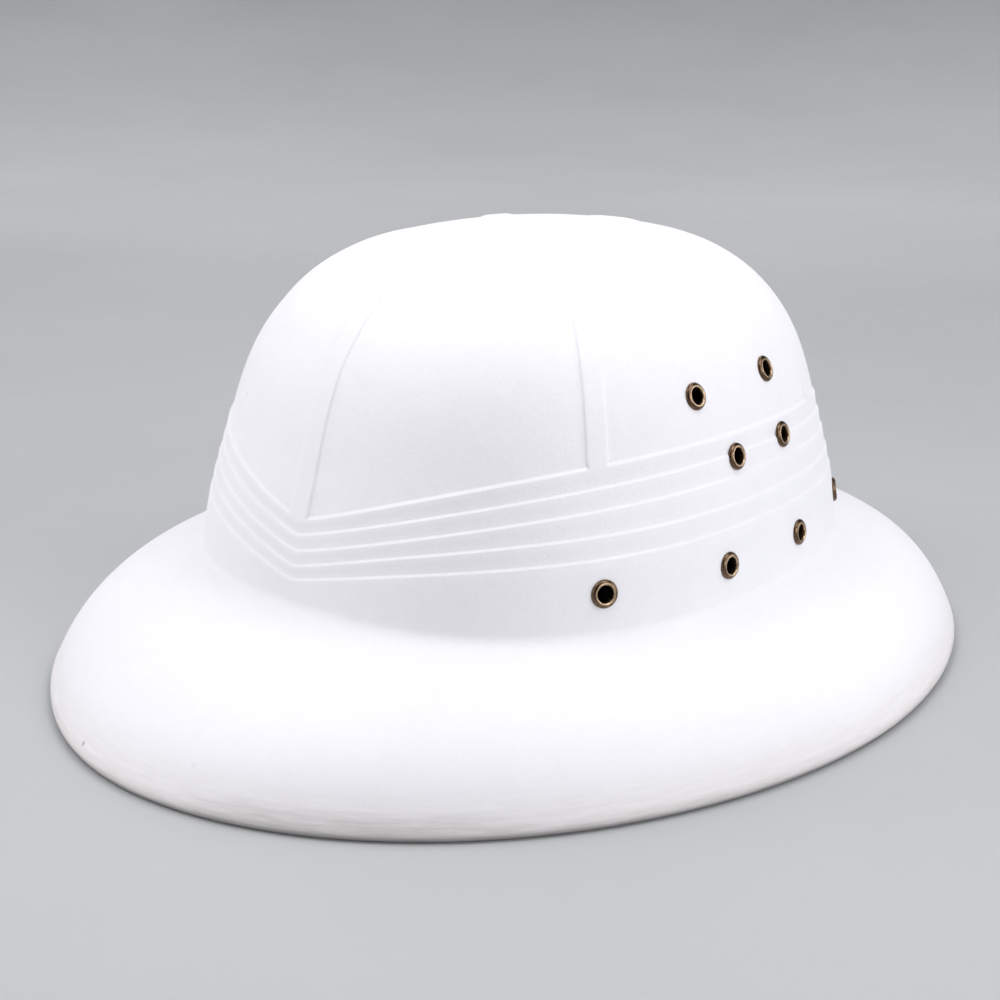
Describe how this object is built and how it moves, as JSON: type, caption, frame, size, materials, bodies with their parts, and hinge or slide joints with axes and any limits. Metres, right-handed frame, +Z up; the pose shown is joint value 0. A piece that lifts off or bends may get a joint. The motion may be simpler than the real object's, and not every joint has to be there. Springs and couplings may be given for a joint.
{
  "type": "sun helmet",
  "caption": "Stiff white moulded sun helmet: ribbed domed crown with a pleated foot, oval brim rolled down at its edge, and brass vent eyelets in the crown's sides.",
  "frame": {"origin": "middle of the brim's outline on the plane that the rim rests on", "axes": "-Y to the front of the hat, +X to the wearer's left, +Z up through the crown"},
  "size_m": [0.282, 0.3488, 0.1375],
  "materials": {
    "shell": "matte, off-white, very fine moulded grain",
    "brass": "dark antique brass, worn bright on the roll"
  },
  "bodies": {
    "root": {"shell": "shell", "eyelet_left_low_1": "brass", "eyelet_left_low_2": "brass", "eyelet_left_low_3": "brass", "eyelet_left_low_4": "brass", "eyelet_left_mid_1": "brass", "eyelet_left_mid_2": "brass", "eyelet_left_top_1": "brass", "eyelet_left_top_2": "brass", "eyelet_right_low_1": "brass", "eyelet_right_low_2": "brass", "eyelet_right_low_3": "brass", "eyelet_right_low_4": "brass", "eyelet_right_mid_1": "brass", "eyelet_right_mid_2": "brass", "eyelet_right_top_1": "brass", "eyelet_right_top_2": "brass"}
  },
  "joints": []
}
